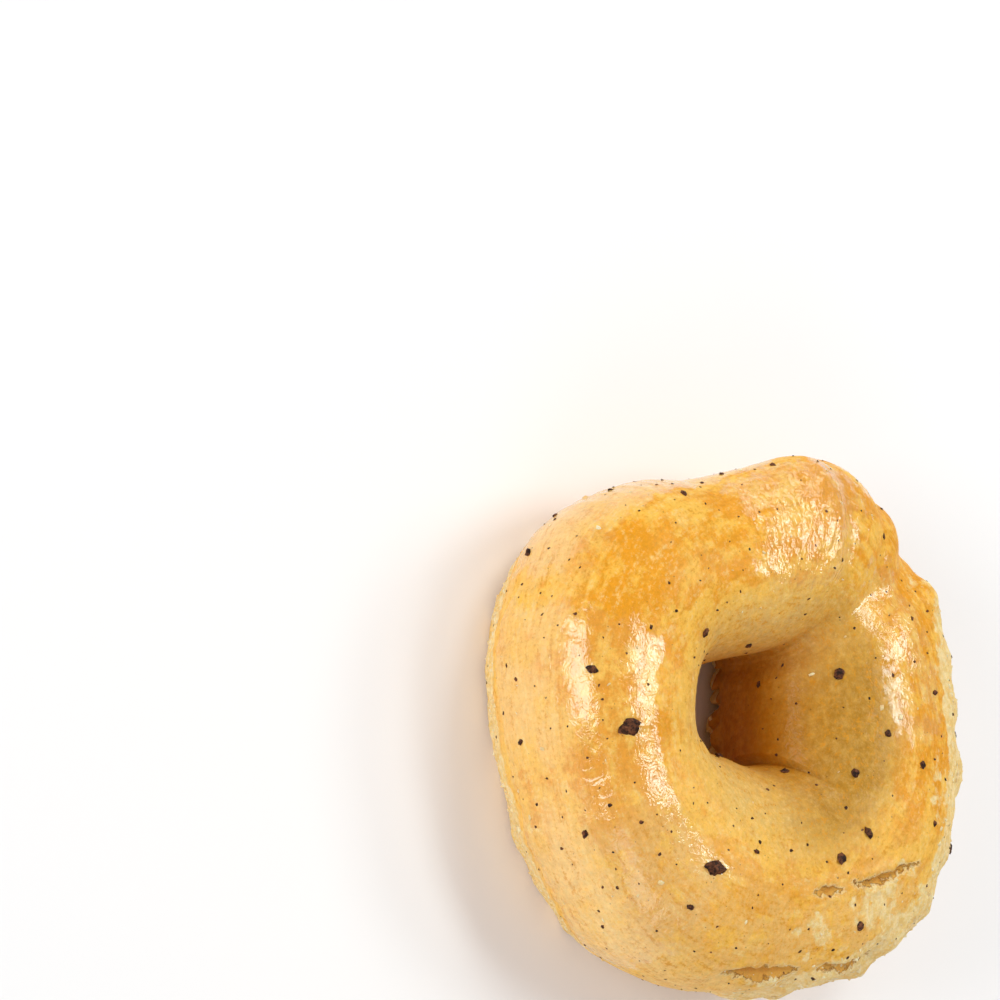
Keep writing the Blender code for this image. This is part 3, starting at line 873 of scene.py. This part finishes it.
def pepper_material():
    """Cracked peppercorn: near black, with red-brown patches spread by a noise."""
    near_black = (0.022, 0.008, 0.005, 1.0)
    red_brown = (0.19, 0.060, 0.024, 1.0)
    made, shader, t = new_material("cracked_pepper")
    spots = t.noise(t.millimetres(), 3.0, 3.0, 0.7)
    t.put(shader.inputs["Base Color"], t.blend(t.share(spots, 0.38, 0.68), near_black, red_brown))
    set_levels(shader, {"Roughness": 0.6, "Specular IOR Level": 0.15})
    bump = t.add("ShaderNodeBump", {"Height": spots, "Strength": 0.6, "Distance": 0.1 * MM})
    t.put(shader.inputs["Normal"], bump.outputs[0])
    return made


def crumb_material():
    """Loose crumb that stuck to the foot: pale, dry dough."""
    pale = (0.88, 0.70, 0.43, 1.0)
    baked = (0.80, 0.50, 0.20, 1.0)
    made, shader, t = new_material("dry_crumb")
    tone = t.noise(t.millimetres(), 0.9, 3.0, 0.6)
    t.put(shader.inputs["Base Color"], t.blend(t.share(tone, 0.35, 0.65), pale, baked))
    set_levels(shader, {"Roughness": 0.8, "Subsurface Weight": 0.15})
    set_levels(shader, {"Subsurface Radius": (1.0, 0.5, 0.2), "Subsurface Scale": 0.8 * MM})
    return made


def split_faces(corners, faces):
    """Each triangle cut into four, its new corners pushed out to the ball."""
    corners = [tuple(c) for c in corners]
    middles = {}

    def between(a, b):
        key = (min(a, b), max(a, b))
        if key not in middles:
            middle = np.array(corners[a]) + np.array(corners[b])
            corners.append(tuple(middle / np.linalg.norm(middle)))
            middles[key] = len(corners) - 1
        return middles[key]

    smaller = []
    for a, b, c in faces:
        ab, bc, ca = between(a, b), between(b, c), between(c, a)
        smaller += [(a, ab, ca), (b, bc, ab), (c, ca, bc), (ab, bc, ca)]
    return np.array(corners), smaller


def rough_lump(name, seed, flatness, roundness, fine=False):
    """A small broken lump about one unit wide: a ball of 20 or 80 faces with its corners pulled about."""
    golden = (1.0 + 5.0**0.5) / 2.0
    corners = []
    for a in (-1.0, 1.0):
        for b in (-golden, golden):
            corners += [(0.0, a, b), (a, b, 0.0), (b, 0.0, a)]
    corners = np.array(corners)
    corners /= np.linalg.norm(corners[0])
    faces = []
    for a in range(12):
        for b in range(a + 1, 12):
            for c in range(b + 1, 12):
                sides = [np.linalg.norm(corners[p] - corners[q]) for p, q in ((a, b), (b, c), (a, c))]
                if max(sides) < 1.06:
                    outward = np.dot(np.cross(corners[b] - corners[a], corners[c] - corners[a]), corners[a])
                    faces.append((a, b, c) if outward > 0 else (a, c, b))
    rng = np.random.default_rng(seed)
    corners = corners * rng.uniform(1.0 - roundness, 1.0 + roundness, size=(12, 1))
    if fine:
        pulls = np.linalg.norm(corners, axis=1)
        corners, faces = split_faces(corners / pulls[:, None], faces)
        near = np.exp(3.0 * corners @ corners[:12].T)
        corners = corners * ((near @ pulls) / near.sum(axis=1))[:, None]
    corners += rng.uniform(-0.5, 0.5, size=corners.shape) * roundness
    corners *= (0.5 * rng.uniform(0.55, 0.95), 0.5, 0.5 * flatness)
    return mesh_object(name, corners, faces)


def lump_collection(name, count, seed, flatness, roundness, fine=False):
    group = bpy.data.collections.new(name)
    for number in range(count):
        lump = rough_lump("%s_%d" % (name, number), seed + number, flatness, roundness, fine)
        bpy.context.scene.collection.objects.unlink(lump)
        group.objects.link(lump)
    return group


def scatter_tree(name, mask, lowest_share):
    """Small lumps spread over the crust where a named share is high, each turned and sized at random."""
    sizes = (
        ("Spacing", "NodeSocketFloat", 1.0),
        ("Most per mm2", "NodeSocketFloat", 1.0),
        ("Smallest", "NodeSocketFloat", 0.1),
        ("Largest", "NodeSocketFloat", 0.4),
        ("Sink", "NodeSocketFloat", 0.2),
        ("Seed", "NodeSocketInt", 1),
        ("Lumps", "NodeSocketCollection", None),
        ("Material", "NodeSocketMaterial", None),
    )
    tree, given, made = new_geometry_tree(name, sizes)
    t = Tree(tree)
    density = t.share(t.carried(mask), lowest_share, 1.0)
    spacing = t.times(given.outputs["Spacing"], MM)
    spread = t.add("GeometryNodeDistributePointsOnFaces", distribute_method="POISSON")
    t.put(spread.inputs["Mesh"], given.outputs["Geometry"])
    t.put(spread.inputs["Distance Min"], spacing)
    t.put(spread.inputs["Density Max"], t.math("DIVIDE", given.outputs["Most per mm2"], MM * MM))
    t.put(spread.inputs["Density Factor"], density)
    t.put(spread.inputs["Seed"], given.outputs["Seed"])
    chance = t.add("FunctionNodeRandomValue", {"Seed": given.outputs["Seed"]}, data_type="FLOAT").outputs[1]
    chance = t.math("POWER", chance, 2.2)
    range_of_widths = t.math("SUBTRACT", given.outputs["Largest"], given.outputs["Smallest"])
    width = t.plus(given.outputs["Smallest"], t.times(chance, range_of_widths))
    width = t.times(width, MM)
    sink = t.times(width, given.outputs["Sink"])
    inward = t.scale(spread.outputs["Normal"], t.times(sink, -1.0))
    sunk = t.add("GeometryNodeSetPosition", {"Geometry": spread.outputs["Points"], "Offset": inward})
    limits = {"Min": (-0.5, -0.5, 0.0), "Max": (0.5, 0.5, FULL_TURN)}
    spin = t.add("FunctionNodeRandomValue", limits, data_type="FLOAT_VECTOR").outputs[0]
    inputs = {"Rotation": spread.outputs["Rotation"], "Rotate By": spin}
    turned = t.add("FunctionNodeRotateRotation", inputs, rotation_space="LOCAL")
    whole = t.copies(sunk, given.outputs["Lumps"], turned, width)
    t.close(whole, given, made)
    return tree


def scatter(crust, name, where, amounts, dressing):
    """A piece of small lumps on the crust: where they lie, their amounts and seed, and of what they are."""
    labels = ("Spacing", "Most per mm2", "Smallest", "Largest", "Sink", "Seed", "Lumps", "Material")
    return run_tree(crust, scatter_tree(name, *where), dict(zip(labels, amounts + dressing)), name)


def pepper_places(path):
    """Where each large grain lies, its way out and its width: the shown ones, then a spaced spread."""
    rng = np.random.default_rng(PEPPER_SEED)
    places = []
    for turn, tilt, width in PEPPER_SHOWN:
        here, out, _ = crust_frame(turn, tilt, path)
        places.append((here, out, width))
    while len(places) < PEPPER_COUNT:
        turn = rng.uniform(0.0, 360.0)
        tilt = rng.uniform(PEPPER_LOWEST, PEPPER_HIGHEST)
        width = PEPPER_SMALLEST + (PEPPER_LARGEST - PEPPER_SMALLEST) * rng.uniform() ** 2
        here, out, _ = crust_frame(turn, tilt, path)
        if all(np.linalg.norm(here - other) > PEPPER_SPACING for other, _, _ in places):
            places.append((here, out, width))
    return places


def make_large_pepper(path, material):
    """The large grains: a vertex at each place carries its width and way out, and gets a lump."""
    places = pepper_places(path)
    seeds = mesh_object("pepper_seeds", to_frame(np.array([p for p, _, _ in places])), [])
    add_attribute(seeds.data, "out", np.array([out for _, out, _ in places]))
    add_attribute(seeds.data, "wide", np.array([w for _, _, w in places]) * MM)
    lumps = lump_collection("pepper_lump", 8, 500, PEPPER_THICKNESS, 0.52, fine=True)
    sizes = (("Lumps", "NodeSocketCollection", None), ("Material", "NodeSocketMaterial", None))
    tree, given, made = new_geometry_tree("large_pepper", sizes)
    t = Tree(tree)
    points = t.add("GeometryNodeMeshToPoints", {"Mesh": given.outputs["Geometry"]})
    out = t.carried("out", "FLOAT_VECTOR")
    upright = t.add("FunctionNodeAlignRotationToVector", {"Vector": out}, axis="Z")
    limits = {"Min": (0.0, 0.0, 0.0), "Max": (0.0, 0.0, FULL_TURN)}
    spin = t.add("FunctionNodeRandomValue", limits, data_type="FLOAT_VECTOR").outputs[0]
    inputs = {"Rotation": upright, "Rotate By": spin}
    turned = t.add("FunctionNodeRotateRotation", inputs, rotation_space="LOCAL")
    whole = t.copies(points, given.outputs["Lumps"], turned, t.carried("wide"))
    t.close(whole, given, made)
    pepper = run_tree(seeds, tree, {"Lumps": lumps, "Material": material}, "pepper_grains")
    bpy.data.objects.remove(seeds)
    return pepper


def area_light(name, direction, width, height, power):
    """A soft light that faces the object from a direction; sizes in metres, power in watts."""
    data = bpy.data.lights.new(name, "AREA")
    data.shape = "RECTANGLE"
    data.size = width
    data.size_y = height
    data.energy = power
    data.color = LIGHT_COLOUR
    lamp = bpy.data.objects.new(name, data)
    bpy.context.scene.collection.objects.link(lamp)
    way = Vector(direction).normalized()
    lamp.location = way * LIGHT_DISTANCE
    lamp.rotation_euler = way.to_track_quat("Z", "Y").to_euler()


def make_lights():
    area_light("back_window", (-0.12, 0.42, 0.90), 0.24, 0.12, 0.76)
    area_light("far_window", (-0.10, 0.70, 0.70), 0.24, 0.12, 0.68)
    area_light("left_window", (-0.58, 0.24, 0.77), 0.16, 0.18, 0.60)
    area_light("front_window", (-0.25, -0.92, 0.32), 0.30, 0.34, 1.75)
    area_light("low_panel", (0.72, -0.50, 0.48), 0.34, 0.34, 0.50)
    area_light("side_panel", (-0.90, 0.35, 0.38), 0.34, 0.20, 0.52)
    world = bpy.data.worlds.new("studio")
    world.use_nodes = True
    set_levels(world.node_tree.nodes["Background"], {"Color": (1.0, 0.995, 0.985, 1.0), "Strength": 0.44})
    bpy.context.scene.world = world


def make_camera():
    """The camera at the photograph's viewing angle, turned about its line of sight and aimed aside."""
    elevation = np.radians(CAMERA_ELEVATION)
    turn = np.radians(CAMERA_TURN)
    right = np.array([1.0, 0.0, 0.0])
    away = np.array([0.0, np.sin(elevation), np.cos(elevation)])
    back = np.array([0.0, -np.cos(elevation), np.sin(elevation)])
    across = np.cos(turn) * away + np.sin(turn) * right
    up = -np.cos(turn) * right + np.sin(turn) * away
    focal_pixels = PIXELS_PER_MM * CAMERA_DISTANCE
    place = np.array(AIM) + CAMERA_DISTANCE * back
    off_x = (AIM_PIXEL[0] - FRAME_PIXELS / 2.0) / focal_pixels
    off_y = (FRAME_PIXELS / 2.0 - AIM_PIXEL[1]) / focal_pixels
    back = back + off_x * across + off_y * up
    back /= np.linalg.norm(back)
    across = across - (across @ back) * back
    across /= np.linalg.norm(across)
    up = np.cross(back, across)
    data = bpy.data.cameras.new("camera")
    data.sensor_width = SENSOR
    data.lens = focal_pixels / FRAME_PIXELS * SENSOR
    data.clip_start = 0.01
    data.clip_end = 10.0
    camera = bpy.data.objects.new("camera", data)
    bpy.context.scene.collection.objects.link(camera)
    matrix = Matrix.Identity(4)
    for axis, column in enumerate((across, up, back, place * MM)):
        for row in range(3):
            matrix[row][axis] = column[row]
    camera.matrix_world = matrix
    bpy.context.scene.camera = camera


def make_floor():
    """A plain pale floor under the object."""
    corners = [(x * FLOOR_REACH, y * FLOOR_REACH, 0.0) for x, y in ((-1, -1), (1, -1), (1, 1), (-1, 1))]
    floor = mesh_object("floor", corners, [(0, 1, 2, 3)])
    made, shader, _ = new_material("pale_floor")
    set_levels(shader, {"Base Color": FLOOR_COLOUR, "Roughness": 0.9, "Specular IOR Level": 0.1})
    floor.data.materials.append(made)


def dress(piece):
    """Makes the piece ride on the object and stand for the solid."""
    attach(piece, "root")
    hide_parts("tarallo")


def main():
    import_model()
    bpy.context.scene.view_settings.view_transform = "Standard"
    path = rope_path()
    make_camera()
    make_lights()
    make_floor()

    baked = crust_material()
    smooth = make_smooth_crust(path)
    crust = run_tree(smooth, relief_tree(), {"Material": baked}, "crust")
    bpy.data.objects.remove(smooth)

    cracked_pepper = pepper_material()
    pepper = make_large_pepper(path, cracked_pepper)
    speck_lumps = lump_collection("speck_lump", 6, 700, 0.5, 0.35)
    specks = scatter(
        crust,
        "pepper_specks",
        ("dusted", 0.0),
        (SPECK_SPACING, SPECKS_PER_MM2, SPECK_SMALLEST, SPECK_LARGEST, SPECK_SINK, 3),
        (speck_lumps, cracked_pepper),
    )
    dry_crumb = crumb_material()
    crumb_lumps = lump_collection("crumb_lump", 5, 800, 0.8, 0.25)
    crumbs = scatter(
        crust,
        "foot_crumbs",
        ("crumbed", 0.1),
        (CRUMB_SPACING, CRUMBS_PER_MM2, CRUMB_SMALLEST, CRUMB_LARGEST, CRUMB_SINK, 5),
        (crumb_lumps, dry_crumb),
    )
    flecks = scatter(
        crust,
        "pale_flecks",
        ("dusted", 0.0),
        (FLECK_SPACING, FLECKS_PER_MM2, FLECK_SMALLEST, FLECK_LARGEST, FLECK_SINK, 9),
        (crumb_lumps, dry_crumb),
    )

    for piece in (crust, pepper, specks, crumbs, flecks):
        dress(piece)


main()
